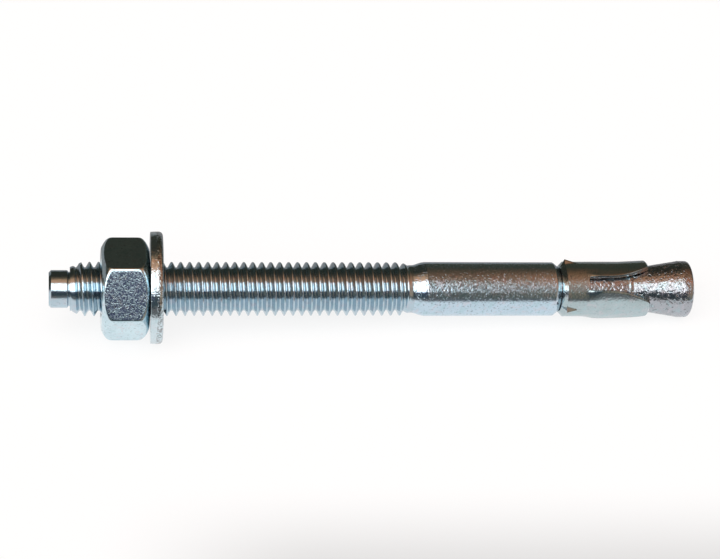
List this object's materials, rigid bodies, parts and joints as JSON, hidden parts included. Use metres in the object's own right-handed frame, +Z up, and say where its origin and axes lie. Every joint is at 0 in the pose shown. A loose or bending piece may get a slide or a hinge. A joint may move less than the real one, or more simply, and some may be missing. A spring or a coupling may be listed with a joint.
{
  "type": "wedge anchor",
  "caption": "Through-bolt wedge anchor: threaded stud with an impact point, hex nut and washer, and a slotted expansion sleeve round the neck of its cone.",
  "frame": {"origin": "centre of the bounding box in X and Y, on the floor the anchor lies on", "axes": "+X from the threaded end towards the cone, +Z up; the anchor's axis leans 2.69 degrees down towards +X, on its washer's rim and its cone's foot"},
  "size_m": [0.0724, 0.0124, 0.0124],
  "materials": {
    "stud_zinc": "blue-white zinc plate",
    "sleeve_zinc": "blue-white zinc plate",
    "nut_zinc": "blue-white zinc plate",
    "washer_zinc": "blue-white zinc plate"
  },
  "bodies": {
    "stud": {"stud": "stud_zinc"},
    "sleeve": {"expansion_sleeve": "sleeve_zinc"},
    "washer": {"washer": "washer_zinc"},
    "nut": {"nut": "nut_zinc"}
  },
  "joints": [
    {"name": "sleeve_turn", "type": "hinge", "parent": "stud", "child": "sleeve", "pos_m": [0.02447, 0, 0.00373], "axis": [0.9989, 0, -0.0469], "continuous": true},
    {"name": "washer_slide", "type": "slide", "parent": "stud", "child": "washer", "axis": [0.9989, 0, -0.0469], "range_m": [-0.0034, 0.027]},
    {"name": "nut_turn", "type": "hinge", "parent": "washer", "child": "nut", "pos_m": [-0.02782, 0, 0.00619], "axis": [0.9989, 0, -0.0469], "range_deg": [-1224.1, 9720.1]}
  ],
  "couplings": [
    {"joint": "nut_turn", "follows": "washer_slide", "rad_per_m": 6283.2}
  ]
}
